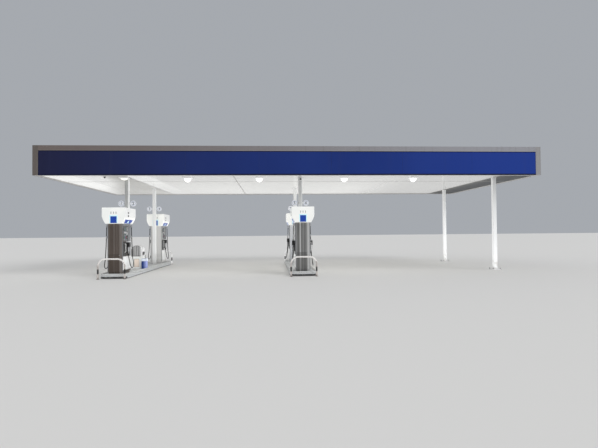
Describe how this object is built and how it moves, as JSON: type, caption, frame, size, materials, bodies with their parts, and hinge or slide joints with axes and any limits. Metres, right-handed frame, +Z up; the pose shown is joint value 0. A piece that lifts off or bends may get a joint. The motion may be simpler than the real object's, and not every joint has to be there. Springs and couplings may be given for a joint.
{
  "type": "filling station canopy",
  "caption": "Flat filling station canopy on slim square columns, with a deep blue fascia, lit white deck, and pump islands with dispensers and hoop guards.",
  "frame": {"origin": "centre of the bounding box's base, on the ground", "axes": "+X along the front of the canopy to the right, +Y from the front face to the back, +Z up"},
  "size_m": [19.5, 9.4248, 4.93],
  "materials": {
    "fascia_blue": "semi-gloss blue sheet",
    "trim_white": "satin off-white sheet",
    "deck_white": "glossy white pans",
    "frame_steel": "grey primer",
    "column_white": "satin white",
    "light_lens": "lit lens",
    "camera_black": "satin black",
    "flag_white": "white with a blue ring",
    "island_concrete": "worn concrete with a painted edge",
    "hoop_white": "worn pale paint with black bands",
    "cabinet_steel": "brushed, vertical grain",
    "head_white": "lit white panel",
    "nozzle_black": "moulded guard",
    "hose_black": "smooth hose",
    "bin_white": "satin off-white",
    "bin_steel": "brushed hood",
    "bucket_blue": "moulded blue",
    "squeegee_black": "moulded black"
  },
  "bodies": {
    "root": {"fascia_front": "fascia_blue", "fascia_back": "fascia_blue", "fascia_left": "fascia_blue", "fascia_right": "fascia_blue", "coping": "trim_white", "corner_trims": "trim_white", "drip_edge": "trim_white", "fascia_frame": "frame_steel", "deck_left": "deck_white", "deck_mid": "deck_white", "deck_right": "deck_white", "beam_front": "frame_steel", "beam_back": "frame_steel", "cross_beam": "frame_steel", "purlins": "frame_steel", "column_left_front": "column_white", "column_left_back": "column_white", "column_mid_front": "column_white", "column_mid_back": "column_white", "column_right_front": "column_white", "column_right_back": "column_white", "canopy_lights": "light_lens", "security_cameras": "camera_black", "number_flags": "flag_white", "island_left": "island_concrete", "island_mid": "island_concrete", "hoops_left": "hoop_white", "hoops_mid": "hoop_white", "cabinet_left_front": "cabinet_steel", "cabinet_left_back": "cabinet_steel", "cabinet_mid_front": "cabinet_steel", "cabinet_mid_back": "cabinet_steel", "head_left_front": "head_white", "head_left_back": "head_white", "head_mid_front": "head_white", "head_mid_back": "head_white", "nozzles_left": "nozzle_black", "nozzles_mid": "nozzle_black", "hoses_left": "hose_black", "hoses_mid": "hose_black", "bin_body": "bin_white", "bin_hood": "bin_steel", "washer_bucket": "bucket_blue", "squeegee": "squeegee_black"}
  },
  "joints": []
}
